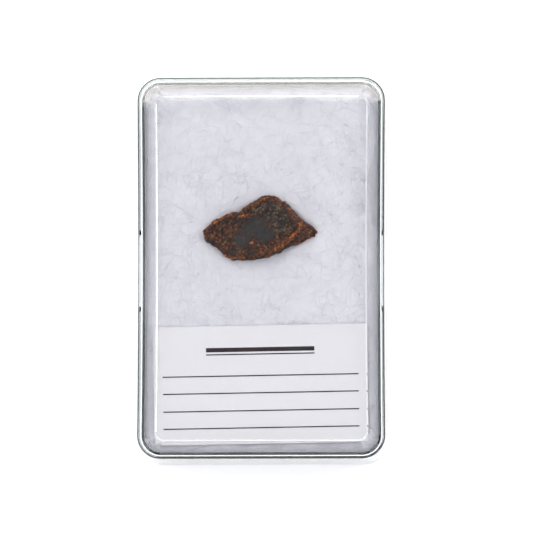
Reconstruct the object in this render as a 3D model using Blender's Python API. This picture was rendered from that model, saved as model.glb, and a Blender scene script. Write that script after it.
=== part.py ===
"""A weathered stony meteorite fragment in its small display box, at real size.

The box is two clear polystyrene mouldings: a tray, and a lift-off lid with a deep skirt over the tray.
A pad of cotton wool fills the tray. The stone and a slip of paper lie on the pad, under the lid.
Metres, +Z up. The origin is the middle of the tray's underside, and the paper's end of the box is -Y.
"""

import math

import bmesh
import bpy
from mathutils import Vector, noise

MM = 0.001

# The lid, measured outside. The skirt widens by DRAFT on each side from its top to its foot.
BOX_WIDTH = 43.0 * MM
BOX_LENGTH = 65.9 * MM
BOX_HEIGHT = 16.0 * MM
BOX_CORNER = 4.3 * MM
DRAFT = 0.15 * MM
# How far the middle of each long side is drawn in, as the moulding shrank
BOW = 0.22 * MM
LID_WALL = 0.55 * MM
LID_TOP = 0.95 * MM
LID_EDGE = 0.5 * MM
SKIRT_FOOT = 0.8 * MM
LID_FILLET = 0.35 * MM
# The raised panel on the lid. Its edge is rounded over the whole rise.
PANEL_MARGIN = 3.0 * MM
PANEL_RISE = 0.4 * MM
PANEL_CORNER = 1.6 * MM
# The thumb notch in the middle of each long side of the skirt. Its ends flare towards the inside.
NOTCH_LENGTH = 13.3 * MM
NOTCH_FLARE = 0.6 * MM
NOTCH_TOP = 6.4 * MM
NOTCH_CORNER = 1.6 * MM
CUTTER_EXCESS = 2.0 * MM

# The tray stands inside the skirt. Its walls are thicker towards the floor.
SIDE_CLEARANCE = 0.2 * MM
REST_GAP = 0.3 * MM
TRAY_WALL = 0.45 * MM
TRAY_DRAFT = 0.2 * MM
TRAY_FLOOR = 0.9 * MM
TRAY_EDGE = 0.5 * MM

# The cotton wool pad. Its top rolls down by WADDING_ROLL over the last WADDING_SIDE_ROLL before the
# walls, its edges are drawn in by WADDING_EDGE, and it sinks WADDING_DIP clear of the stone's underside.
WADDING_TOP = 11.3 * MM
WADDING_ROLL = 1.1 * MM
WADDING_SIDE_ROLL = 2.6 * MM
WADDING_EDGE = 0.8 * MM
WADDING_DIP = 0.5 * MM

# The stone lies on its small flat spot, a little way down in the pad.
STONE_PLACE = Vector((0.12, 7.0, 10.15)) * MM

# The slip of paper
LABEL_SIZE = (36.7 * MM, 20.3 * MM, 0.2 * MM)
LABEL_PLACE = Vector((-0.2, -19.8, 0.0)) * MM
LABEL_TURN = math.radians(0.95)

CORNER_STEPS = 8
SIDE_STEPS = 6

# The stone's widest outline seen from above, in millimetres round its middle, anticlockwise from the tip
STONE_OUTLINE = (
    (9.43, -0.79), (9.06, -0.07), (8.22, 0.50), (7.36, 0.84), (6.79, 1.50), (5.93, 2.06),
    (5.21, 3.06), (4.21, 4.06), (3.22, 4.76), (2.65, 5.26), (1.94, 5.69), (0.52, 5.49),
    (-0.48, 5.19), (-1.63, 4.49), (-3.04, 3.63), (-4.06, 2.86), (-5.19, 2.70), (-6.90, 1.93),
    (-8.62, 1.07), (-9.75, 0.07), (-10.11, -0.50), (-9.89, -1.79), (-9.32, -2.49), (-8.05, -3.08),
    (-7.33, -3.78), (-6.33, -4.78), (-5.19, -5.35), (-3.20, -5.50), (-1.05, -5.28), (1.22, -4.92),
    (2.51, -4.21), (4.51, -3.22), (6.93, -2.36), (8.63, -1.50),
)

# Broken faces of the stone's upper side: the way each falls in degrees, its fall per millimetre, and
# the height that it has at a distance that way from the middle, in millimetres
UPPER_FACES = (
    (-100, 0.03, 4.05, 0.0),
    (180, 0.16, 3.95, 3.0),
    (49, 0.95, 4.00, 4.45),
    (-10, 0.50, 3.70, 6.0),
    (-52, 1.10, 3.90, 4.45),
    (-90, 1.30, 3.40, 4.9),
    (-125, 0.90, 3.20, 6.5),
    (116, 0.80, 3.50, 3.7),
    (120, 1.00, 4.15, 4.2),
    (170, 1.00, 2.90, 9.2),
)
UPPER_BLUNTING = 0.06

# Faces of its underside, which climb away from the small flat spot in the same four numbers
LOWER_FACES = (
    (180, 0.22, 0.0, 3.2),
    (-5, 0.15, 0.0, 3.0),
    (-90, 0.45, 0.0, 1.7),
    (80, 0.42, 0.0, 1.6),
    (-52, 0.50, 0.0, 3.0),
    (-125, 0.40, 0.0, 3.8),
)
LOWER_BLUNTING = 0.15
FLAT_SPOT_CUT = 0.2

# Crests on the upper side: height, half width and the points of the crest line, in millimetres
CRESTS = (
    (0.22, 0.42, ((-3.7, 2.5), (-1.4, 4.0), (0.6, 5.0), (1.8, 5.1))),
    (-0.20, 0.36, ((-2.3, 2.7), (-0.9, 3.6), (0.9, 4.2), (2.1, 3.9))),
    (0.26, 0.45, ((2.0, -3.8), (4.6, -1.9), (5.8, -0.9), (6.4, 0.3))),
    (0.28, 0.55, ((-4.1, 2.0), (-3.2, 1.3), (-2.2, 1.3))),
    (0.14, 0.45, ((-3.1, 0.4), (-4.3, -0.6), (-5.2, -0.9))),
)

# Hollows in it: depth, middle and the two radii
HOLLOWS = (
    (0.36, (-1.3, -0.3), (2.6, 1.5)),
    (0.20, (1.6, 2.6), (1.9, 1.4)),
    (0.18, (-7.0, -0.9), (1.6, 1.0)),
)

# Lumps and chipped hollows all over the stone: size and height, in millimetres
LUMPS = ((2.6, 0.16), (1.1, 0.09))
CHIPS = (1.9, 0.30)
CHIP_MIDDLE = 0.45
STONE_THINNEST = 0.55
FLAT_SPOT_LEVEL = 0.02
# The belt round the stone's widest outline: share of the outline, and level between the two sides
STONE_BELT = ((0.996, 0.84), (1.0, 0.62), (0.998, 0.38), (0.985, 0.16))
BELT_FOOT = 0.96
# The stone is made finely, and then kept to this many triangles, which follow its edges
STONE_SIDES = 176
UPPER_RINGS = 26
LOWER_RINGS = 14
STONE_TRIANGLES = 5200

WADDING_SIDES = 72
WADDING_RINGS = (0.02, 0.08, 0.14, 0.20, 0.26, 0.32, 0.38, 0.45, 0.56, 0.70, 0.82)


def new_object(name, mesh):
    """Puts a bmesh in the scene as an object, with its faces turned outwards."""
    bmesh.ops.recalc_face_normals(mesh, faces=mesh.faces)
    data = bpy.data.meshes.new(name)
    mesh.to_mesh(data)
    mesh.free()
    data.shade_smooth()
    data.set_sharp_from_angle(angle=math.radians(30))
    thing = bpy.data.objects.new(name, data)
    bpy.context.scene.collection.objects.link(thing)
    return thing


def finish(thing, name, colour, roughness, clear=False):
    """Gives an object its material."""
    material = bpy.data.materials.new(name)
    material.use_nodes = True
    shader = material.node_tree.nodes["Principled BSDF"]
    shader.inputs["Base Color"].default_value = (*colour, 1)
    shader.inputs["Roughness"].default_value = roughness
    shader.inputs["Metallic"].default_value = 0
    if clear:
        shader.inputs["Transmission Weight"].default_value = 1
        shader.inputs["IOR"].default_value = 1.59
    thing.data.materials.append(material)


def skin(name, rings):
    """A closed body from rings of points that follow one another. The first and the last are filled."""
    mesh = bmesh.new()
    loops = [[mesh.verts.new(point) for point in ring] for ring in rings]
    for low, high in zip(loops, loops[1:]):
        for i in range(len(low)):
            after = (i + 1) % len(low)
            mesh.faces.new((low[i], low[after], high[after], high[i]))
    for loop in (loops[0], loops[-1]):
        mesh.faces.new(loop)
    return new_object(name, mesh)


def box_ring(width, length, corner, z):
    """A rounded rectangle at height z, anticlockwise, with its long sides drawn in."""
    half_x = width / 2
    half_y = length / 2
    points = []
    for quarter, (side_x, side_y) in enumerate(((1, 1), (-1, 1), (-1, -1), (1, -1))):
        middle_x = side_x * (half_x - corner)
        middle_y = side_y * (half_y - corner)
        for step in range(CORNER_STEPS + 1):
            angle = math.radians(90) * (quarter + step / CORNER_STEPS)
            points.append((middle_x + corner * math.cos(angle), middle_y + corner * math.sin(angle)))
        if quarter in (1, 3):
            run = -2 * middle_y
            for step in range(1, SIDE_STEPS):
                points.append((side_x * half_x, middle_y + run * step / SIDE_STEPS))
    return [
        (x - BOW * (x / half_x) * max(0.0, 1 - (y / half_y) ** 2), y, z) for x, y in points
    ]


def lid_ring(z, inset=0.0):
    """The skirt's outside at height z, drawn in by inset all round."""
    share = (z - SKIRT_FOOT) / (BOX_HEIGHT - SKIRT_FOOT)
    inset += DRAFT * share
    return box_ring(BOX_WIDTH - 2 * inset, BOX_LENGTH - 2 * inset, BOX_CORNER - inset, z)


def panel_ring(z, inset):
    """An outline round the raised panel, inset from the panel's foot."""
    margin = 2 * (DRAFT + PANEL_MARGIN + inset)
    return box_ring(BOX_WIDTH - margin, BOX_LENGTH - margin, PANEL_CORNER, z)


def rounded(radius, steps):
    """Pairs of (inset, rise) along a quarter round of an edge, from its side to its face."""
    turns = [math.radians(90) * step / steps for step in range(steps + 1)]
    return [(radius * (1 - math.cos(turn)), radius * math.sin(turn)) for turn in turns]


def notch_cutter(side):
    """The prism that cuts the thumb notch out of the skirt on one long side."""
    wall_x = BOX_WIDTH / 2 - BOW
    ends = []
    for x in (wall_x - CUTTER_EXCESS, wall_x + CUTTER_EXCESS):
        half = NOTCH_LENGTH / 2 + NOTCH_FLARE * (wall_x - x) / LID_WALL
        arch = [(half, SKIRT_FOOT - CUTTER_EXCESS)]
        for inset, rise in rounded(NOTCH_CORNER, 4):
            arch.append((half - inset, NOTCH_TOP - NOTCH_CORNER + rise))
        arch += [(-y, z) for y, z in reversed(arch)]
        ends.append([(side * x, y, z) for y, z in arch])
    cutter = skin("notch_cutter", ends)
    cutter.hide_render = True
    cutter.display_type = "WIRE"
    return cutter


def make_lid():
    margin_top = BOX_HEIGHT - PANEL_RISE
    ceiling = margin_top - LID_TOP
    rings = [panel_ring(ceiling + PANEL_RISE, PANEL_RISE), panel_ring(ceiling, 0.0)]
    for inset, rise in reversed(rounded(LID_FILLET, 3)):
        rings.append(lid_ring(ceiling - LID_FILLET + rise, LID_WALL + inset))
    rings.append(lid_ring(SKIRT_FOOT, LID_WALL))
    rings.append(lid_ring(SKIRT_FOOT, 0.0))
    for inset, rise in rounded(LID_EDGE, 4):
        rings.append(lid_ring(margin_top - LID_EDGE + rise, inset))
    for inset, rise in rounded(PANEL_RISE, 3):
        rings.append(panel_ring(margin_top + rise, inset))
    lid = skin("lid", rings)
    for side in (1, -1):
        cut = lid.modifiers.new("thumb_notch", "BOOLEAN")
        cut.object = notch_cutter(side)
        cut.solver = "EXACT"
    return lid


def tray_rim_height():
    return BOX_HEIGHT - PANEL_RISE - LID_TOP - REST_GAP


def tray_ring(z, inset=0.0):
    """The tray's outside at height z. It tapers in towards the floor."""
    rim = tray_rim_height()
    inset += DRAFT + LID_WALL + SIDE_CLEARANCE + TRAY_DRAFT * (rim - z) / rim
    return box_ring(BOX_WIDTH - 2 * inset, BOX_LENGTH - 2 * inset, BOX_CORNER - inset, z)


def make_base():
    rim = tray_rim_height()
    rings = []
    for inset, rise in reversed(rounded(TRAY_EDGE, 3)):
        rings.append(tray_ring(TRAY_EDGE - rise, inset))
    rings.append(tray_ring(rim, 0.0))
    rings.append(tray_ring(rim, TRAY_WALL))
    for inset, rise in rounded(TRAY_EDGE, 3):
        rings.append(tray_ring(TRAY_FLOOR + TRAY_EDGE - rise, TRAY_WALL + inset))
    return skin("base", rings)


def softest(values, blunting):
    """The smallest of some heights, with a rounded join between them."""
    least = min(values)
    return least - blunting * math.log(sum(math.exp((least - v) / blunting) for v in values))


def face_height(face, x, y, way):
    turn, slope, height, distance = face
    along = x * math.cos(math.radians(turn)) + y * math.sin(math.radians(turn))
    return height + way * slope * (along - distance)


def off_line(x, y, points):
    """Distance from a point to a line of points."""
    place = Vector((x, y))
    nearest = 1e9
    for start, end in zip(points, points[1:]):
        start = Vector(start)
        run = Vector(end) - start
        share = max(0.0, min(1.0, (place - start).dot(run) / run.length_squared))
        nearest = min(nearest, (place - start - share * run).length)
    return nearest


def stone_bottom(x, y):
    """Height of the stone's underside in millimetres, which is 0 on the flat spot."""
    climbs = [0.0] + [face_height(face, x, y, 1) for face in LOWER_FACES]
    return max(0.0, -softest([-climb for climb in climbs], LOWER_BLUNTING) - FLAT_SPOT_CUT)


def stone_top(x, y):
    """Height of its upper side over the flat spot, in millimetres."""
    height = softest([face_height(face, x, y, -1) for face in UPPER_FACES], UPPER_BLUNTING)
    for rise, width, points in CRESTS:
        height += rise * math.exp(-((off_line(x, y, points) / width) ** 2))
    for depth, middle, radii in HOLLOWS:
        reach = ((x - middle[0]) / radii[0]) ** 2 + ((y - middle[1]) / radii[1]) ** 2
        height -= depth * math.exp(-reach)
    return max(height, stone_bottom(x, y) + STONE_THINNEST)


def even_outline(corners, count):
    """Points at even steps along a closed outline."""
    corners = [Vector(corner) for corner in corners]
    runs = [(end - start).length for start, end in zip(corners, corners[1:] + corners[:1])]
    step = sum(runs) / count
    points = []
    for i in range(count):
        left = i * step
        for j, run in enumerate(runs):
            if left <= run:
                break
            left -= run
        points.append(corners[j].lerp(corners[(j + 1) % len(corners)], left / run))
    return points


def swelling(place):
    """How far the stone's surface stands out at a point, from its lumps and its chipped hollows."""
    out = sum(height * noise.noise(place / size) for size, height in LUMPS)
    size, depth = CHIPS
    return out + depth * (noise.voronoi(place / size)[0][0] - CHIP_MIDDLE)


def make_meteorite():
    rim = even_outline(STONE_OUTLINE, STONE_SIDES)
    rings = []
    for i in range(UPPER_RINGS):
        share = math.sqrt((i + 0.001) / UPPER_RINGS)
        rings.append([(*(p * share), stone_top(*(p * share))) for p in rim])
    for share, level in STONE_BELT:
        ring = []
        for p, upper in zip(rim, rings[UPPER_RINGS - 1]):
            low = stone_bottom(*(p * BELT_FOOT))
            ring.append((*(p * share), low + level * (upper[2] - low)))
        rings.append(ring)
    for i in reversed(range(LOWER_RINGS)):
        share = BELT_FOOT * math.sqrt((i + 0.001) / (LOWER_RINGS - 1))
        rings.append([(*(p * share), stone_bottom(*(p * share))) for p in rim])
    stone = skin("meteorite", [[Vector(place) * MM for place in ring] for ring in rings])
    outwards = [vertex.normal.copy() for vertex in stone.data.vertices]
    for vertex, outward in zip(stone.data.vertices, outwards):
        if vertex.co.z > FLAT_SPOT_LEVEL * MM:
            vertex.co += outward * swelling(vertex.co / MM) * MM
            vertex.co.z = max(vertex.co.z, FLAT_SPOT_LEVEL * MM)
    stone.location = STONE_PLACE
    fewer = stone.modifiers.new("fewer_triangles", "DECIMATE")
    fewer.ratio = STONE_TRIANGLES / sum(len(face.vertices) - 2 for face in stone.data.polygons)
    return stone


def wadding_height(place, off_side):
    """The pad's top at a point given from the stone's middle, off_side from the pad's side."""
    edge = max(0.0, 1 - off_side / WADDING_SIDE_ROLL)
    under = STONE_PLACE.z + stone_bottom(*(place / MM)) * MM - WADDING_DIP
    return min(WADDING_TOP - WADDING_ROLL * edge**2, under)


def make_wadding():
    floor = TRAY_FLOOR + REST_GAP
    shoulder = WADDING_TOP - WADDING_ROLL
    inset = DRAFT + LID_WALL + SIDE_CLEARANCE + TRAY_WALL + TRAY_DRAFT + REST_GAP
    outline = box_ring(BOX_WIDTH - 2 * inset, BOX_LENGTH - 2 * inset, BOX_CORNER - inset, 0.0)
    rim = even_outline([point[:2] for point in outline], WADDING_SIDES)
    middle = STONE_PLACE.xy
    runs = [point - middle for point in rim]
    rings = []
    for share in WADDING_RINGS:
        heights = [wadding_height(run * share, run.length * (1 - share)) for run in runs]
        rings.append([(*(middle + run * share), z) for run, z in zip(runs, heights)])
    for off_side, z in (
        (WADDING_SIDE_ROLL, WADDING_TOP),
        (WADDING_SIDE_ROLL / 2, WADDING_TOP - WADDING_ROLL / 4),
        (WADDING_EDGE / 4, shoulder),
        (0.0, shoulder - WADDING_EDGE),
        (0.0, floor + WADDING_EDGE),
        (WADDING_EDGE, floor),
    ):
        rings.append([(*(middle + run * (1 - off_side / run.length)), z) for run in runs])
    return skin("wadding", rings)


def make_label():
    mesh = bmesh.new()
    bmesh.ops.create_cube(mesh, size=1.0)
    bmesh.ops.scale(mesh, vec=LABEL_SIZE, verts=mesh.verts)
    label = new_object("label", mesh)
    label.location = LABEL_PLACE
    label.location.z = WADDING_TOP + REST_GAP + LABEL_SIZE[2] / 2
    label.rotation_euler.z = LABEL_TURN
    return label


def main():
    for thing in list(bpy.data.objects):
        bpy.data.objects.remove(thing)
    finish(make_base(), "clear_polystyrene_tray", (0.90, 0.93, 0.95), 0.05, clear=True)
    finish(make_lid(), "clear_polystyrene_lid", (0.92, 0.95, 0.97), 0.03, clear=True)
    finish(make_wadding(), "cotton_wool", (0.93, 0.92, 0.95), 0.95)
    finish(make_meteorite(), "weathered_chondrite", (0.16, 0.08, 0.04), 0.8)
    finish(make_label(), "white_paper", (0.90, 0.89, 0.91), 0.7)


main()
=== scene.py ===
"""A weathered stony meteorite on cotton wool, with a ruled slip of paper, in its clear display box."""

import math

import bmesh
import bpy
import numpy as np
from mathutils import Matrix, Vector, noise
from mathutils.bvhtree import BVHTree


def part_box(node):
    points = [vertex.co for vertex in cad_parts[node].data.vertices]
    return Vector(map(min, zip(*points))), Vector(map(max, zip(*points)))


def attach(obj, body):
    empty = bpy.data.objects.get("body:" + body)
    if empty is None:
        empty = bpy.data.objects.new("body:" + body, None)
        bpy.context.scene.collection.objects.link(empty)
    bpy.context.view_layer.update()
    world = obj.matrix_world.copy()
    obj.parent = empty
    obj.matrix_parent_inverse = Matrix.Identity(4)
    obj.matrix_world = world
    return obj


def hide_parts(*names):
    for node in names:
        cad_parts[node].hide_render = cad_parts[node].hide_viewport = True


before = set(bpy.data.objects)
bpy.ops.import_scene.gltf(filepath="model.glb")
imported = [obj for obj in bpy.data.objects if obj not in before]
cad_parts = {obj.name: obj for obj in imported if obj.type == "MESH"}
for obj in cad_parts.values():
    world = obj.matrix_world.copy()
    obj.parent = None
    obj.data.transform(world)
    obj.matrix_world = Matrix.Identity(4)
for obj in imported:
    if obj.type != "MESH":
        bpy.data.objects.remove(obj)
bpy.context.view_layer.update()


# The photographer's place: a long lens nearly straight above the box, which leans a little towards the
# paper's end and the right.
MM = 0.001
PICTURE_WIDTH = 91.68 * MM
CAMERA_DISTANCE = 1.5
AIM = Vector((0.65, 0.79, 8.0)) * MM
LEAN = Vector((0.035, -0.075, 1.0))

camera_data = bpy.data.cameras.new("camera")
camera_data.sensor_width = 36.0
camera_data.lens = camera_data.sensor_width * CAMERA_DISTANCE / PICTURE_WIDTH
camera_data.clip_start = 0.05
camera_data.clip_end = 20.0
camera = bpy.data.objects.new("camera", camera_data)
camera.location = AIM + LEAN.normalized() * CAMERA_DISTANCE
back = LEAN.normalized()
right = Vector((0, 1, 0)).cross(back).normalized()
camera.rotation_euler = Matrix((right, back.cross(right), back)).transposed().to_euler()
bpy.context.scene.collection.objects.link(camera)
bpy.context.scene.camera = camera
bpy.context.scene.view_settings.view_transform = "Standard"
bpy.context.scene.view_settings.look = "None"


# The table: a smooth, matt white board, large enough to fill every view. It is overexposed, as in a
# catalogue picture, so that it shows pure white.
TABLE_REACH = 3.0


def from_hex(code):
    """An sRGB hex colour as linear red, green, blue and alpha."""
    parts = [int(code[i:i + 2], 16) / 255 for i in (1, 3, 5)]
    return (*[c / 12.92 if c <= 0.04045 else ((c + 0.055) / 1.055) ** 2.4 for c in parts], 1.0)


def add_node(tree, kind, links=None, stops=(), **settings):
    """Adds a node. links are sockets or values for its inputs, by name or number, and stops are the
    places and hex colours along a colour ramp. The rest is set on it."""
    made = tree.nodes.new(kind)
    for name, value in settings.items():
        setattr(made, name, value)
    if stops:
        while len(made.color_ramp.elements) < len(stops):
            made.color_ramp.elements.new(0.5)
        for element, (position, code) in zip(made.color_ramp.elements, stops):
            element.position = position
            element.color = from_hex(code)
    for key, value in (links or {}).items():
        if isinstance(value, bpy.types.NodeSocket):
            tree.links.new(value, made.inputs[key])
        else:
            made.inputs[key].default_value = value
    return made


def new_material(name):
    """An empty material with a Principled shader: the material, its tree and the shader."""
    material = bpy.data.materials.new(name)
    material.use_nodes = True
    return material, material.node_tree, material.node_tree.nodes["Principled BSDF"]


table_white, tree, shader = new_material("matt_white_table")
shader.inputs["Base Color"].default_value = from_hex("#f8f8f8")
shader.inputs["Roughness"].default_value = 0.9
table_mesh = bpy.data.meshes.new("table_top")
table_corners = [(x * TABLE_REACH, y * TABLE_REACH, 0) for x, y in ((-1, -1), (1, -1), (1, 1), (-1, 1))]
table_mesh.from_pydata(table_corners, [], [(0, 1, 2, 3)])
table_mesh.materials.append(table_white)
table = bpy.data.objects.new("table_top", table_mesh)
bpy.context.scene.collection.objects.link(table)


# Studio light: a broad softbox above the far end, whose reflection lies along the lid's top edge, and
# bright paper walls all round. The room is dark low down, more so at the near end and the right, and
# the ceiling over the camera is dark too, so that the lid's flat top mirrors nothing bright.
SOFTBOX_SIZE = (1.3, 0.9)
SOFTBOX_PLACE = (0.0, 0.60, 1.48)
SOFTBOX_WATTS = 12.0
WALLS_STRENGTH = 2.0
# How much a direction's height is raised towards the far end, and towards the right
FAR_LIFT, RIGHT_LIFT = 0.09, -0.05
# Height of a direction, from 0 at the floor to 1 overhead, and the studio's colour there
STUDIO_COLOURS = (
    (0.00, "#26343c"), (0.09, "#4f5f6b"), (0.18, "#cfd5e4"), (0.34, "#ffffff"),
    (0.90, "#fcfbff"), (0.965, "#3a3b40"),
)

world = bpy.data.worlds.new("studio_walls")
bpy.context.scene.world = world
world.use_nodes = True
tree = world.node_tree
direction = add_node(tree, "ShaderNodeTexCoord").outputs["Generated"]
apart = add_node(tree, "ShaderNodeSeparateXYZ", {"Vector": direction})
lifted = add_node(tree, "ShaderNodeMath", {
    0: apart.outputs["Y"], 1: FAR_LIFT, 2: apart.outputs["Z"]}, operation="MULTIPLY_ADD")
lifted = add_node(tree, "ShaderNodeMath", {
    0: apart.outputs["X"], 1: RIGHT_LIFT, 2: lifted.outputs[0]}, operation="MULTIPLY_ADD")
walls = add_node(tree, "ShaderNodeValToRGB", {"Fac": lifted.outputs[0]}, stops=STUDIO_COLOURS)
tree.links.new(walls.outputs["Color"], tree.nodes["Background"].inputs["Color"])
tree.nodes["Background"].inputs["Strength"].default_value = WALLS_STRENGTH

softbox_data = bpy.data.lights.new("softbox", "AREA")
softbox_data.shape = "RECTANGLE"
softbox_data.size, softbox_data.size_y = SOFTBOX_SIZE
softbox_data.energy = SOFTBOX_WATTS
softbox_data.color = from_hex("#fffaf2")[:3]
softbox = bpy.data.objects.new("softbox", softbox_data)
softbox.location = SOFTBOX_PLACE
softbox.rotation_euler = Vector(SOFTBOX_PLACE).to_track_quat("Z", "Y").to_euler()
bpy.context.scene.collection.objects.link(softbox)


# The tray: clear polystyrene, injection moulded in one piece through a gate under its middle. Its
# walls lean in towards the floor so that it leaves the mould.
BOX_WIDTH, BOX_LENGTH, BOX_HEIGHT = 43.0 * MM, 65.9 * MM, 16.0 * MM
BOX_CORNER = 4.3 * MM
DRAFT = 0.15 * MM
BOW = 0.22 * MM
LID_WALL, LID_TOP = 0.55 * MM, 0.95 * MM
PANEL_RISE = 0.4 * MM
SIDE_CLEARANCE = 0.2 * MM
TRAY_WALL, TRAY_FLOOR = 0.45 * MM, 0.9 * MM
TRAY_DRAFT = 0.2 * MM
TRAY_EDGE = 0.5 * MM
RIM_GAP, RIM_BEVEL = 0.3 * MM, 0.1 * MM
TRAY_RIM = BOX_HEIGHT - PANEL_RISE - LID_TOP - RIM_GAP
FLOW_WAVE_LENGTH, FLOW_WAVE_HEIGHT = 9 * MM, 0.004 * MM
CORNER_STEPS = 20
SIDE_STEPS = 14


def box_ring(width, length, corner, z):
    """A rounded rectangle at height z, anticlockwise. Its long sides are drawn in, as the mould's
    shrinkage leaves them."""
    half_x, half_y = width / 2, length / 2
    points = []
    for quarter, (side_x, side_y) in enumerate(((1, 1), (-1, 1), (-1, -1), (1, -1))):
        middle_x = side_x * (half_x - corner)
        middle_y = side_y * (half_y - corner)
        for step in range(CORNER_STEPS + 1):
            angle = math.radians(90) * (quarter + step / CORNER_STEPS)
            points.append((middle_x + corner * math.cos(angle), middle_y + corner * math.sin(angle)))
        if quarter in (1, 3):
            for step in range(1, SIDE_STEPS):
                points.append((side_x * half_x, middle_y * (1 - 2 * step / SIDE_STEPS)))
    return [(x - BOW * (x / half_x) * max(0.0, 1 - (y / half_y) ** 2), y, z) for x, y in points]


def rounded(radius, steps=5):
    """Pairs of inset and rise along a quarter round, from a wall to a face."""
    turns = [math.radians(90) * step / steps for step in range(steps + 1)]
    return [(radius * (1 - math.cos(turn)), radius * math.sin(turn)) for turn in turns]


def new_piece(name, mesh, material, sharp=40):
    """Puts a mesh in the scene as a smooth piece that rides on the box."""
    mesh.shade_smooth()
    mesh.set_sharp_from_angle(angle=math.radians(sharp))
    mesh.materials.clear()
    mesh.materials.append(material)
    piece = bpy.data.objects.new(name, mesh)
    bpy.context.scene.collection.objects.link(piece)
    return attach(piece, "root")


def moulded(name, rings):
    """A closed mesh over rings of points, the first and the last filled."""
    body = bmesh.new()
    loops = [[body.verts.new(point) for point in ring] for ring in rings]
    for low, high in zip(loops, loops[1:]):
        for i in range(len(low)):
            after = (i + 1) % len(low)
            body.faces.new((low[i], low[after], high[after], high[i]))
    body.faces.new(loops[0])
    body.faces.new(loops[-1])
    bmesh.ops.recalc_face_normals(body, faces=body.faces)
    mesh = bpy.data.meshes.new(name)
    body.to_mesh(mesh)
    body.free()
    return mesh


def clear_polystyrene(name, roughness):
    """Moulded clear polystyrene: colourless, IOR 1.59, glossy from the polished mould, with faint flow
    waves some 9 mm long. Long ways through it, as along an edge, look teal."""
    material, tree, shader = new_material(name)
    shader.inputs["Base Color"].default_value = (1, 1, 1, 1)
    shader.inputs["Roughness"].default_value = roughness
    shader.inputs["IOR"].default_value = 1.59
    shader.inputs["Transmission Weight"].default_value = 1.0
    place = add_node(tree, "ShaderNodeTexCoord").outputs["Object"]
    waves = add_node(tree, "ShaderNodeTexNoise", {
        "Vector": place, "Scale": 1 / FLOW_WAVE_LENGTH, "Detail": 1.0})
    bump = add_node(tree, "ShaderNodeBump", {"Height": waves.outputs["Fac"], "Distance": FLOW_WAVE_HEIGHT})
    tree.links.new(bump.outputs["Normal"], shader.inputs["Normal"])
    tint = add_node(tree, "ShaderNodeVolumeAbsorption", {"Color": from_hex("#8fd0cc"), "Density": 25.0})
    tree.links.new(tint.outputs["Volume"], tree.nodes["Material Output"].inputs["Volume"])
    return material


def tray_ring(z, inset=0.0):
    """The tray's outside at height z, drawn in by inset."""
    inset += DRAFT + LID_WALL + SIDE_CLEARANCE + TRAY_DRAFT * (TRAY_RIM - z) / TRAY_RIM
    return box_ring(BOX_WIDTH - 2 * inset, BOX_LENGTH - 2 * inset, BOX_CORNER - inset, z)


rings = [tray_ring(TRAY_EDGE - rise, inset) for inset, rise in reversed(rounded(TRAY_EDGE))]
rings += [tray_ring(TRAY_RIM - RIM_BEVEL), tray_ring(TRAY_RIM, RIM_BEVEL)]
rings += [tray_ring(TRAY_RIM, TRAY_WALL - RIM_BEVEL), tray_ring(TRAY_RIM - RIM_BEVEL, TRAY_WALL)]
for inset, rise in rounded(TRAY_EDGE):
    rings.append(tray_ring(TRAY_FLOOR + TRAY_EDGE - rise, TRAY_WALL + inset))
tray_plastic = clear_polystyrene("moulded_clear_polystyrene_tray", roughness=0.02)
tray = new_piece("tray", moulded("tray", rings), tray_plastic)
tray.modifiers.new("even_faces", "WEIGHTED_NORMAL").keep_sharp = True
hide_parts("base")


# The wadding: bleached cotton wool, carded and cut to a pad, then pressed into the tray by hand until it
# fills it to the walls. Single fibres run loose over the top, and bunch up in the dip beside the walls.
PAD_TOP, PAD_FOOT = 11.3 * MM, 1.0 * MM
PAD_ROUNDING = 0.5 * MM
WALL_GAP = 0.06 * MM
PAD_VOXEL = 0.6 * MM
# The pad's lumps: how far apart and how high, in millimetres, and how much of them its sides have
LUMPS = ((5.0, 0.30), (2.1, 0.16), (0.9, 0.08))
SIDE_LUMPS = 0.4
PAD_SINK = 0.1 * MM
LOOSE_FIBRES, WALL_FIBRES = 6400, 2400
FIBRE_JOINTS = 9
# Cotton is 0.02 mm thick. It is drawn 0.05 mm wide so that it shows.
FIBRE_WIDTH = 0.05 * MM
FIBRE_UNDER_STONE, FIBRE_UNDER_SLIP = 0.03 * MM, 0.05 * MM
WALL_BAND = 2.2
HEIGHT_CELL = 0.25 * MM
stone_low, stone_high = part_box("meteorite")
slip_low, slip_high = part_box("label")
draw = np.random.default_rng(7)


def solid_tree(mesh):
    """A mesh as a tree for casting rays at."""
    corners = [vertex.co.copy() for vertex in mesh.vertices]
    return BVHTree.FromPolygons(corners, [face.vertices[:] for face in mesh.polygons])


def applied(name, mesh, kind, **settings):
    """The mesh as one modifier leaves it."""
    form = bpy.data.objects.new(name, mesh)
    bpy.context.scene.collection.objects.link(form)
    modifier = form.modifiers.new(name, kind)
    for key, value in settings.items():
        setattr(modifier, key, value)
    made = bpy.data.meshes.new_from_object(form.evaluated_get(bpy.context.evaluated_depsgraph_get()))
    bpy.data.objects.remove(form)
    return made


stone_solid = solid_tree(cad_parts["meteorite"].data)


def stone_underside(x, y):
    """Height of the stone's underside over a point of the pad, or a great height beside the stone."""
    hit = stone_solid.ray_cast(Vector((x, y, 0)), Vector((0, 0, 1)))[0]
    return hit.z if hit else 1.0


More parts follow.
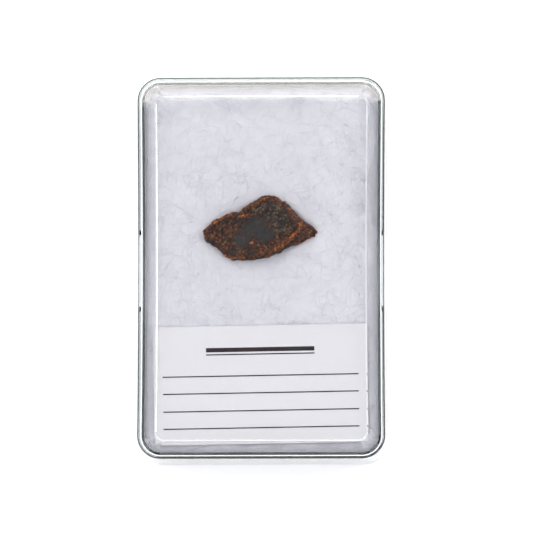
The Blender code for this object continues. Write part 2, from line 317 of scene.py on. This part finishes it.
pad_inset = TRAY_WALL + WALL_GAP
rings = [tray_ring(PAD_FOOT, pad_inset + TRAY_EDGE), tray_ring(PAD_FOOT + TRAY_EDGE, pad_inset)]
for inset, rise in rounded(PAD_ROUNDING):
    rings.append(tray_ring(PAD_TOP - PAD_ROUNDING + rise, pad_inset + inset))
pad_mesh = applied("even_pad", moulded("pad", rings), "REMESH", mode="VOXEL", voxel_size=PAD_VOXEL)
for vertex, outward in zip(pad_mesh.vertices, [v.normal.copy() for v in pad_mesh.vertices]):
    place = vertex.co / MM
    swell = sum(height * noise.noise(place / size) for size, height in LUMPS)
    if outward.z < 0.7:
        swell = -SIDE_LUMPS * abs(swell)
    vertex.co += outward * swell * MM
    if outward.z > 0.3:
        under = stone_underside(vertex.co.x, vertex.co.y) - PAD_SINK
        if slip_low.x < vertex.co.x < slip_high.x and slip_low.y < vertex.co.y < slip_high.y:
            under = slip_low.z - PAD_SINK
        vertex.co.z = min(vertex.co.z, under)

# Heights of the pad, and of what lies on it, on a grid that the fibres follow
pad_solid = solid_tree(pad_mesh)
grid_x = np.arange(-21 * MM, 21 * MM, HEIGHT_CELL)
grid_y = np.arange(-32.5 * MM, 32.5 * MM, HEIGHT_CELL)
pad_heights = np.full((len(grid_x), len(grid_y)), PAD_TOP - PAD_ROUNDING)
fibre_ceiling = np.full(pad_heights.shape, 1.0)
for i, x in enumerate(grid_x):
    for j, y in enumerate(grid_y):
        hit = pad_solid.ray_cast(Vector((x, y, BOX_HEIGHT)), Vector((0, 0, -1)))[0]
        if hit:
            pad_heights[i, j] = hit.z
        if stone_low.x < x < stone_high.x and stone_low.y < y < stone_high.y:
            fibre_ceiling[i, j] = stone_underside(x, y) - FIBRE_UNDER_STONE
        if slip_low.x < x < slip_high.x and slip_low.y < y < slip_high.y:
            fibre_ceiling[i, j] = slip_low.z - FIBRE_UNDER_SLIP


def on_grid(heights, x, y):
    """The grid's value at each point."""
    i = np.clip(((x - grid_x[0]) / HEIGHT_CELL).round().astype(int), 0, len(grid_x) - 1)
    j = np.clip(((y - grid_y[0]) / HEIGHT_CELL).round().astype(int), 0, len(grid_y) - 1)
    return heights[i, j]


def fibre_paths(start_x, start_y, heading, step, wander, arch, sink):
    """Paths of many fibres over the pad, which start and end a little way down in it."""
    count = len(start_x)
    turning = draw.normal(0, wander, (count, 1)) + draw.normal(0, wander, (count, FIBRE_JOINTS))
    heading = heading[:, None] + np.cumsum(turning, axis=1)
    x = start_x[:, None] + np.cumsum(np.cos(heading), axis=1) * step[:, None]
    y = start_y[:, None] + np.cumsum(np.sin(heading), axis=1) * step[:, None]
    limit_x = tray_inside.x - BOW * np.maximum(0.0, 1 - (y / (BOX_LENGTH / 2)) ** 2)
    x = np.clip(x, -limit_x, limit_x)
    y = np.clip(y, -tray_inside.y, tray_inside.y)
    along = np.linspace(0, math.pi, FIBRE_JOINTS)
    z = on_grid(pad_heights, x, y) + arch[:, None] * np.sin(along) - sink[:, None]
    z = np.minimum(z, on_grid(fibre_ceiling, x, y))
    return np.stack([x, y, z], axis=2)


inset = DRAFT + LID_WALL + SIDE_CLEARANCE + TRAY_WALL + TRAY_DRAFT
tray_inside = Vector((BOX_WIDTH / 2 - inset, BOX_LENGTH / 2 - inset))
loose = fibre_paths(
    draw.uniform(-tray_inside.x, tray_inside.x, LOOSE_FIBRES),
    draw.uniform(-tray_inside.y, tray_inside.y, LOOSE_FIBRES),
    draw.uniform(0, math.tau, LOOSE_FIBRES),
    step=draw.uniform(0.25, 0.65, LOOSE_FIBRES) * MM,
    wander=0.22,
    arch=draw.exponential(0.16, LOOSE_FIBRES) * MM,
    sink=np.full(LOOSE_FIBRES, 0.04 * MM),
)
# Beside the walls the fibres run with the wall. Most were pushed towards the right and the near end.
on_long_side = draw.uniform(0, 1, WALL_FIBRES) < 0.55
far_side = np.where(draw.uniform(0, 1, WALL_FIBRES) < np.where(on_long_side, 0.7, 0.3), 1, -1)
off_wall = draw.uniform(0, 1, WALL_FIBRES) ** 1.5 * WALL_BAND * MM
run = draw.uniform(-1, 1, WALL_FIBRES)
beside = fibre_paths(
    np.where(on_long_side, far_side * (tray_inside.x - off_wall), run * tray_inside.x),
    np.where(on_long_side, run * tray_inside.y, far_side * (tray_inside.y - off_wall)),
    np.where(on_long_side, math.pi / 2, 0.0) + draw.normal(0, 0.35, WALL_FIBRES),
    step=draw.uniform(0.25, 0.6, WALL_FIBRES) * MM,
    wander=0.20,
    arch=draw.uniform(0.0, 0.7, WALL_FIBRES) * MM,
    sink=np.full(WALL_FIBRES, 0.05 * MM),
)
paths = np.concatenate([loose, beside])
tangents = np.gradient(paths, axis=1)
sideways = np.cross(tangents, draw.normal(0, 1, (len(paths), 1, 3)))
sideways /= np.linalg.norm(sideways, axis=2, keepdims=True) + 1e-12
widths = FIBRE_WIDTH * draw.uniform(0.6, 1.2, (len(paths), 1, 1))
ribbons = np.stack([paths - sideways * widths / 2, paths + sideways * widths / 2], axis=2).reshape(-1, 3)
first = len(pad_mesh.vertices)
points = [tuple(v.co) for v in pad_mesh.vertices] + ribbons.tolist()
faces = [tuple(f.vertices) for f in pad_mesh.polygons]
for fibre in range(len(paths)):
    for joint in range(FIBRE_JOINTS - 1):
        a = first + 2 * (fibre * FIBRE_JOINTS + joint)
        faces.append((a, a + 1, a + 3, a + 2))
cotton_mesh = bpy.data.meshes.new("cotton_wool")
cotton_mesh.from_pydata(points, [], faces)

# Cotton has no gloss. It looks soft and even, with a faint mottle from clumps some 1.4 mm across.
bleached_cotton, tree, shader = new_material("carded_bleached_cotton")
place = add_node(tree, "ShaderNodeTexCoord").outputs["Object"]
clumps = add_node(tree, "ShaderNodeTexNoise", {"Vector": place, "Scale": 1 / (1.4 * MM), "Detail": 6.0})
clump_shade = add_node(tree, "ShaderNodeMix", {
    0: clumps.outputs["Fac"], 6: from_hex("#e2e1ea"), 7: from_hex("#f3f2f8")}, data_type="RGBA")
tree.links.new(clump_shade.outputs[2], shader.inputs["Base Color"])
shader.inputs["Roughness"].default_value = 1.0
shader.inputs["Specular IOR Level"].default_value = 0.1
shader.inputs["Sheen Weight"].default_value = 0.2
cotton = new_piece("cotton_wool", cotton_mesh, bleached_cotton, 180)
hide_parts("wadding")


# The meteorite: a broken slice of an ordinary chondrite that lay in a desert. Its iron has rusted to orange
# and gold on the broken edges, more gold is a painted highlight along the ridges, and a dark, smooth patina
# covers the middle of its upper face.
STONE_VOXEL = 0.085 * MM
STONE_MIDDLE = np.array([0.12, 7.0, 10.15])
# The broken surface, in millimetres: sizes and heights of its grains, ledges, knobs and pits
GRAINS = ((0.80, 0.16), (0.40, 0.13), (0.21, 0.07))
LEDGE_SIZE, LEDGE_HEIGHT = 1.5, 0.12
KNOB_SIZE, KNOB_HEIGHT = 0.62, 0.14
PIT_SIZE, PIT_DEPTH, PIT_REACH = 0.95, 0.16, 0.38
# Height over which a point goes from a hollow, darkened as painted shade, to a raised point, lightened as
# wear
RELIEF_HEIGHT = 0.12
# How far the mottle moves the borders between the stone's zones
BORDER_BREAK = 0.9

stone_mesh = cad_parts["meteorite"].data.copy()
stone_mesh = applied("fine_stone", stone_mesh, "REMESH", mode="VOXEL", voxel_size=STONE_VOXEL)
count = len(stone_mesh.vertices)
places = np.empty(count * 3)
stone_mesh.vertices.foreach_get("co", places)
places = places.reshape(-1, 3) / MM - STONE_MIDDLE
outwards = np.empty(count * 3)
stone_mesh.vertices.foreach_get("normal", outwards)
outwards = outwards.reshape(-1, 3)
links = np.empty(len(stone_mesh.edges) * 2, dtype=np.int64)
stone_mesh.edges.foreach_get("vertices", links)
links = links.reshape(-1, 2)
neighbours = np.bincount(links.ravel(), minlength=count)[:, None]


def neighbour_mean(values):
    """Each point's value, averaged over the points beside it."""
    total = np.zeros_like(values)
    np.add.at(total, links[:, 0], values[links[:, 1]])
    np.add.at(total, links[:, 1], values[links[:, 0]])
    return total / neighbours


def spots(table):
    """How far each point of the upper side lies inside any spot of a table: middle, radii and turn."""
    inside = np.zeros(count)
    for x, y, radius_x, radius_y, turn in table:
        turn = math.radians(turn)
        dx, dy = places[:, 0] - x, places[:, 1] - y
        u = (dx * math.cos(turn) + dy * math.sin(turn)) / radius_x
        v = (dy * math.cos(turn) - dx * math.sin(turn)) / radius_y
        inside = np.maximum(inside, np.clip(1.5 - np.hypot(u, v), 0, 1))
    return inside * np.clip(outwards[:, 2] * 4 - 0.4, 0, 1)


def strips(table):
    """The same for strips: half width, and the points of the strip's middle line."""
    inside = np.zeros(count)
    for width, line in table:
        for start, end in zip(line, line[1:]):
            start, end = np.array(start), np.array(end)
            share = np.clip((places[:, :2] - start) @ (end - start) / ((end - start) @ (end - start)), 0, 1)
            away = np.linalg.norm(places[:, :2] - start - share[:, None] * (end - start), axis=1)
            inside = np.maximum(inside, np.clip(1.5 - away / width, 0, 1))
    return inside * np.clip(outwards[:, 2] * 4 - 0.4, 0, 1)


zones = {
    "dark_patina": spots((
        (-1.3, 0.2, 2.3, 1.7, 20), (-3.4, -1.9, 1.7, 1.5, 50),
        (0.4, -1.2, 1.8, 1.2, 0), (-4.9, -4.1, 0.6, 0.4, 0),
    )),
    "grey_face": spots(((2.3, 2.6, 2.3, 1.6, -25), (3.1, 0.5, 1.7, 1.6, 0), (-0.2, 3.2, 1.4, 0.8, 30))),
    "pink_bevel": strips(((0.75, ((2.2, 5.2), (3.6, 4.2), (4.9, 3.1), (6.0, 1.9), (7.0, 0.9))),)),
    # Gold strips: rust on some broken edges, and a painted highlight along the ridges that face the light
    "rust_and_highlight_edge": strips((
        (0.40, ((6.7, 0.4), (5.9, -0.9), (4.8, -1.9), (2.8, -3.5), (2.1, -3.8))),
        (0.45, ((-9.6, 0.2), (-8.6, 1.0), (-6.9, 1.7), (-5.4, 2.4))),
        (0.35, ((-3.9, 1.9), (-3.2, 1.9), (-2.7, 2.1))),
        (0.30, ((-4.0, 2.9), (-1.6, 4.3), (0.5, 5.2), (1.9, 5.5))),
        (0.30, ((-6.4, -4.6), (-5.1, -5.1), (-3.2, -5.2))),
        (0.30, ((-2.0, -2.8), (-1.6, -2.6))),
    )),
}

# Broken grain all over, pits where grains fell out, and a smoother skin under the patina
roughened = np.zeros(count)
for i, (x, y, z) in enumerate(places):
    place = Vector((x, y, z))
    grain = sum(height * noise.noise(place / size) for size, height in GRAINS)
    ledges = LEDGE_HEIGHT * (0.5 - abs(noise.noise(place / LEDGE_SIZE + Vector((7, 3, 1)))))
    knobs = KNOB_HEIGHT * (0.5 - noise.voronoi(place / KNOB_SIZE)[0][0])
    off_pit = noise.voronoi(place / PIT_SIZE + Vector((3, 9, 4)))[0][0]
    pit = -PIT_DEPTH * max(0.0, PIT_REACH - off_pit) / PIT_REACH
    roughened[i] = grain + ledges + knobs + pit
roughened *= 1 - 0.5 * zones["dark_patina"]
roughened *= np.clip(places[:, 2] / 0.15, 0.2, 1)
places = places + outwards * roughened[:, None]
smoothed = places
for _ in range(10):
    smoothed = neighbour_mean(smoothed)
standing_out = np.einsum("ij,ij->i", places - smoothed, outwards)
# Hollows and pits are painted darker as shade, and raised points lighter as wear
zones["wear_and_hollow_shade"] = np.clip(standing_out / RELIEF_HEIGHT * 0.5 + 0.5, 0, 1)
stone_mesh.vertices.foreach_set("co", ((places + STONE_MIDDLE) * MM).ravel())
for name, values in zones.items():
    stone_mesh.attributes.new(name, "FLOAT", "POINT").data.foreach_set("value", values.astype(np.float32))
stone_mesh.update()

# Rusted chondrite is dull brown with a mottle of orange rust and dark grains some 0.4 mm across. The
# patina is smoother and catches a soft shine.
rusty_chondrite, tree, shader = new_material("rusted_desert_chondrite")
place = add_node(tree, "ShaderNodeTexCoord").outputs["Object"]
blotches = add_node(tree, "ShaderNodeTexNoise", {
    "Vector": place, "Scale": 1 / (1.5 * MM), "Detail": 5.0, "Roughness": 0.62})
grains = add_node(tree, "ShaderNodeTexNoise", {
    "Vector": place, "Scale": 1 / (0.42 * MM), "Detail": 4.0, "Roughness": 0.7})
chips = add_node(tree, "ShaderNodeTexVoronoi", {"Vector": place, "Scale": 1 / (0.38 * MM)})


wear_and_hollow_shade = add_node(tree, "ShaderNodeAttribute", attribute_name="wear_and_hollow_shade")


def ragged(zone, low, high):
    """A zone's share at each point, with its border broken up by the blotches and the grains."""
    share = add_node(tree, "ShaderNodeAttribute", attribute_name=zone).outputs["Fac"]
    broken = add_node(tree, "ShaderNodeMath", {
        0: blotches.outputs["Fac"], 1: grains.outputs["Fac"]}, operation="ADD")
    moved = add_node(tree, "ShaderNodeMath", {
        0: broken.outputs[0], 1: BORDER_BREAK, 2: share}, operation="MULTIPLY_ADD")
    return add_node(tree, "ShaderNodeMapRange", {
        "Value": moved.outputs[0], "From Min": low, "From Max": high}).outputs["Result"]


# Each shade's pattern, and the colours along it from its low values to its high ones
shades = {}
for name, source, stops in (
    ("brown", blotches.outputs["Fac"], (
        (0.32, "#4c2c19"), (0.46, "#7a4a27"), (0.58, "#9c6434"), (0.70, "#b9803f"))),
    ("patina", blotches.outputs["Fac"], ((0.35, "#2a1c1a"), (0.55, "#43302a"), (0.68, "#5d4335"))),
    ("grey", blotches.outputs["Fac"], ((0.32, "#544a42"), (0.5, "#776b60"), (0.66, "#93826f"))),
    ("grain", grains.outputs["Fac"], (
        (0.36, "#0c0c0c"), (0.47, "#5c5c5c"), (0.56, "#8c8880"), (0.68, "#ffe6bc"))),
    ("dark_grains", chips.outputs["Color"], ((0.30, "#4a3a34"), (0.42, "#ffffff"))),
    ("wear_and_shade_colours", wear_and_hollow_shade.outputs["Fac"], ((0.22, "#2c2420"), (0.5, "#7c7c7c"), (0.80, "#ecc48c"))),
):
    shades[name] = add_node(tree, "ShaderNodeValToRGB", {"Fac": source}, stops=stops).outputs["Color"]

patina_share = ragged("dark_patina", 1.25, 1.65)
colour = shades["brown"]
for upper, share, way in (
    (shades["grey"], ragged("grey_face", 1.25, 1.6), "MIX"),
    (shades["patina"], patina_share, "MIX"),
    (from_hex("#a8714f"), ragged("pink_bevel", 1.35, 1.65), "MIX"),
    # Gold along the edges and ridges: partly rust, partly painted highlight
    (from_hex("#c98a3e"), ragged("rust_and_highlight_edge", 1.5, 1.8), "MIX"),
    (shades["grain"], 0.85, "OVERLAY"),
    (shades["dark_grains"], 0.75, "MULTIPLY"),
    # Painted shade darkens the hollows, and wear lightens the raised points
    (shades["wear_and_shade_colours"], 0.8, "OVERLAY"),
):
    coat = add_node(tree, "ShaderNodeMix", {
        0: share, 6: colour, 7: upper}, data_type="RGBA", blend_type=way)
    colour = coat.outputs[2]
tree.links.new(colour, shader.inputs["Base Color"])
shine = add_node(tree, "ShaderNodeMapRange", {"Value": patina_share, "To Min": 0.78, "To Max": 0.5})
tree.links.new(shine.outputs["Result"], shader.inputs["Roughness"])
bump = add_node(tree, "ShaderNodeBump", {
    "Height": grains.outputs["Fac"], "Distance": 0.05 * MM, "Strength": 0.8})
tree.links.new(bump.outputs["Normal"], shader.inputs["Normal"])
meteorite = new_piece("meteorite_stone", stone_mesh, rusty_chondrite, 180)
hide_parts("meteorite")


# The slip: thin white laser paper with a ruled form on it, cut by hand and laid on the wadding, where it
# lies a little wavy.
SLIP_WIDTH, SLIP_LENGTH = 36.7, 20.3
SLIP_THICKNESS = 0.1
SLIP_MIDDLE = Vector((-0.2, -19.8, 11.65))
SLIP_TURN = math.radians(0.95)
SLIP_CELLS = (74, 42)
WAVE_HEIGHT, RIPPLE_HEIGHT, CURL_HEIGHT = 0.16, 0.03, 0.16
LOWEST_WAVE = -0.04
# The form's lines: middle across, height over the slip's middle, length and thickness, in millimetres
FORM_LINES = (
    (0.0, 6.05, 18.6, 0.75), (0.0, 5.25, 18.6, 0.22),
    (0.0, 1.55, 33.6, 0.22), (0.0, -1.40, 33.6, 0.22), (0.0, -4.45, 33.6, 0.22), (0.0, -7.40, 33.6, 0.22),
)

body = bmesh.new()
printed = body.loops.layers.uv.new("millimetres")
layers = []
for side in (1, 0):
    grid = []
    for j in range(SLIP_CELLS[1] + 1):
        row = []
        for i in range(SLIP_CELLS[0] + 1):
            x = SLIP_WIDTH * (i / SLIP_CELLS[0] - 0.5)
            y = SLIP_LENGTH * (j / SLIP_CELLS[1] - 0.5)
            wave = WAVE_HEIGHT * noise.noise(Vector((x / 11, y / 8, 4.0)))
            ripple = RIPPLE_HEIGHT * noise.noise(Vector((x / 3, y / 3, 9.0)))
            curl = CURL_HEIGHT * (abs(x) / SLIP_WIDTH * 2) ** 6 * (0.5 + y / SLIP_LENGTH)
            z = max(LOWEST_WAVE, wave + ripple + curl) + SLIP_THICKNESS * side
            row.append(body.verts.new((x, y, z)))
        grid.append(row)
    layers.append(grid)
upper, lower = layers
for j in range(SLIP_CELLS[1]):
    for i in range(SLIP_CELLS[0]):
        body.faces.new((upper[j][i], upper[j][i + 1], upper[j + 1][i + 1], upper[j + 1][i]))
        body.faces.new((lower[j + 1][i], lower[j + 1][i + 1], lower[j][i + 1], lower[j][i]))
for a, b in ((0, 1), (SLIP_CELLS[1], -1)):
    for i in range(SLIP_CELLS[0]):
        ends = (lower[a][i], lower[a][i + 1], upper[a][i + 1], upper[a][i])
        body.faces.new(ends if b > 0 else ends[::-1])
for a, b in ((0, -1), (SLIP_CELLS[0], 1)):
    for j in range(SLIP_CELLS[1]):
        ends = (lower[j][a], lower[j + 1][a], upper[j + 1][a], upper[j][a])
        body.faces.new(ends if b > 0 else ends[::-1])
for face in body.faces:
    for corner in face.loops:
        corner[printed].uv = corner.vert.co.xy
slip_mesh = bpy.data.meshes.new("paper_slip")
body.to_mesh(slip_mesh)
body.free()
turned = Matrix.Translation(SLIP_MIDDLE * MM) @ Matrix.Rotation(SLIP_TURN, 4, "Z")
slip_mesh.transform(turned @ Matrix.Scale(MM, 4))

# Copier paper: matt, cool white from its brightener, with a fine fibre mottle. The toner lines are dull
# and nearly black.
laser_paper, tree, shader = new_material("white_laser_paper")
form = add_node(tree, "ShaderNodeUVMap", uv_map="millimetres").outputs["UV"]
apart = add_node(tree, "ShaderNodeSeparateXYZ", {"Vector": form})
inked = 0.0
for across, up, length, thickness in FORM_LINES:
    edges = []
    for socket, middle, size in ((apart.outputs["X"], across, length), (apart.outputs["Y"], up, thickness)):
        away = add_node(tree, "ShaderNodeMath", {0: socket, 1: middle, 2: size / 2}, operation="COMPARE")
        edges.append(away.outputs[0])
    line = add_node(tree, "ShaderNodeMath", {0: edges[0], 1: edges[1]}, operation="MULTIPLY").outputs[0]
    inked = add_node(tree, "ShaderNodeMath", {0: inked, 1: line}, operation="MAXIMUM").outputs[0]
facing = add_node(tree, "ShaderNodeNewGeometry").outputs["Normal"]
upward = add_node(tree, "ShaderNodeSeparateXYZ", {"Vector": facing}).outputs["Z"]
on_top = add_node(tree, "ShaderNodeMath", {0: upward, 1: 0.5}, operation="GREATER_THAN").outputs[0]
inked = add_node(tree, "ShaderNodeMath", {0: inked, 1: on_top}, operation="MULTIPLY").outputs[0]
mottle = add_node(tree, "ShaderNodeTexNoise", {"Vector": form, "Scale": 1 / 0.6, "Detail": 3.0})
sheet = add_node(tree, "ShaderNodeMix", {
    0: mottle.outputs["Fac"], 6: from_hex("#eae8ee"), 7: from_hex("#f3f1f5")}, data_type="RGBA")
ruled_sheet = add_node(tree, "ShaderNodeMix", {
    0: inked, 6: sheet.outputs[2], 7: from_hex("#2a1a20")}, data_type="RGBA")
tree.links.new(ruled_sheet.outputs[2], shader.inputs["Base Color"])
shader.inputs["Roughness"].default_value = 0.75
slip = new_piece("paper_slip", slip_mesh, laser_paper)
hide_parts("label")


# The lid: clear polystyrene, moulded in one piece. Its skirt goes down over the tray almost to the
# table, with a notch for the thumb in each long side, and the top has a low raised panel.
LID_EDGE, LID_FILLET = 0.5 * MM, 0.35 * MM
SKIRT_FOOT, SKIRT_BEVEL = 0.8 * MM, 0.08 * MM
PANEL_MARGIN, PANEL_CORNER = 3.0 * MM, 1.6 * MM
NOTCH_LENGTH, NOTCH_TOP, NOTCH_CORNER = 13.3 * MM, 6.4 * MM, 1.6 * MM
NOTCH_FLARE = 0.6 * MM
CUTTER_EXCESS = 2 * MM


def lid_ring(z, inset=0.0):
    """The skirt's outside at height z, drawn in by inset."""
    inset += DRAFT * (z - SKIRT_FOOT) / (BOX_HEIGHT - SKIRT_FOOT)
    return box_ring(BOX_WIDTH - 2 * inset, BOX_LENGTH - 2 * inset, BOX_CORNER - inset, z)


def panel_ring(z, inset):
    """An outline round the raised panel, inset from its foot."""
    margin = 2 * (DRAFT + PANEL_MARGIN + inset)
    return box_ring(BOX_WIDTH - margin, BOX_LENGTH - margin, PANEL_CORNER, z)


margin_top = BOX_HEIGHT - PANEL_RISE
ceiling = margin_top - LID_TOP
rings = [panel_ring(ceiling + PANEL_RISE, PANEL_RISE), panel_ring(ceiling, 0.0)]
for inset, rise in reversed(rounded(LID_FILLET)):
    rings.append(lid_ring(ceiling - LID_FILLET + rise, LID_WALL + inset))
rings += [lid_ring(SKIRT_FOOT + SKIRT_BEVEL, LID_WALL), lid_ring(SKIRT_FOOT, LID_WALL - SKIRT_BEVEL)]
rings += [lid_ring(SKIRT_FOOT, SKIRT_BEVEL), lid_ring(SKIRT_FOOT + SKIRT_BEVEL)]
for inset, rise in rounded(LID_EDGE):
    rings.append(lid_ring(margin_top - LID_EDGE + rise, inset))
for inset, rise in rounded(PANEL_RISE):
    rings.append(panel_ring(margin_top + rise, inset))
lid_form = bpy.data.objects.new("lid_form", moulded("lid_form", rings))
bpy.context.scene.collection.objects.link(lid_form)
wall_x = BOX_WIDTH / 2 - BOW
cutters = []
for side in (1, -1):
    ends = []
    for x in (wall_x - CUTTER_EXCESS, wall_x + CUTTER_EXCESS):
        half = NOTCH_LENGTH / 2 + NOTCH_FLARE * (wall_x - x) / LID_WALL
        arch = [(half, SKIRT_FOOT - CUTTER_EXCESS)]
        for inset, rise in rounded(NOTCH_CORNER, 8):
            arch.append((half - inset, NOTCH_TOP - NOTCH_CORNER + rise))
        arch += [(-y, z) for y, z in reversed(arch)]
        ends.append([(side * x, y, z) for y, z in arch])
    cutter = bpy.data.objects.new("notch_cutter", moulded("notch_cutter", ends))
    bpy.context.scene.collection.objects.link(cutter)
    cut = lid_form.modifiers.new("thumb_notch", "BOOLEAN")
    cut.object = cutter
    cut.solver = "EXACT"
    cutters.append(cutter)
lid_mesh = bpy.data.meshes.new_from_object(lid_form.evaluated_get(bpy.context.evaluated_depsgraph_get()))
for spent in (lid_form, *cutters):
    bpy.data.objects.remove(spent)
lid_plastic = clear_polystyrene("moulded_clear_polystyrene_lid", roughness=0.015)
lid = new_piece("lid_moulding", lid_mesh, lid_plastic)
lid.modifiers.new("even_faces", "WEIGHTED_NORMAL").keep_sharp = True
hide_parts("lid")
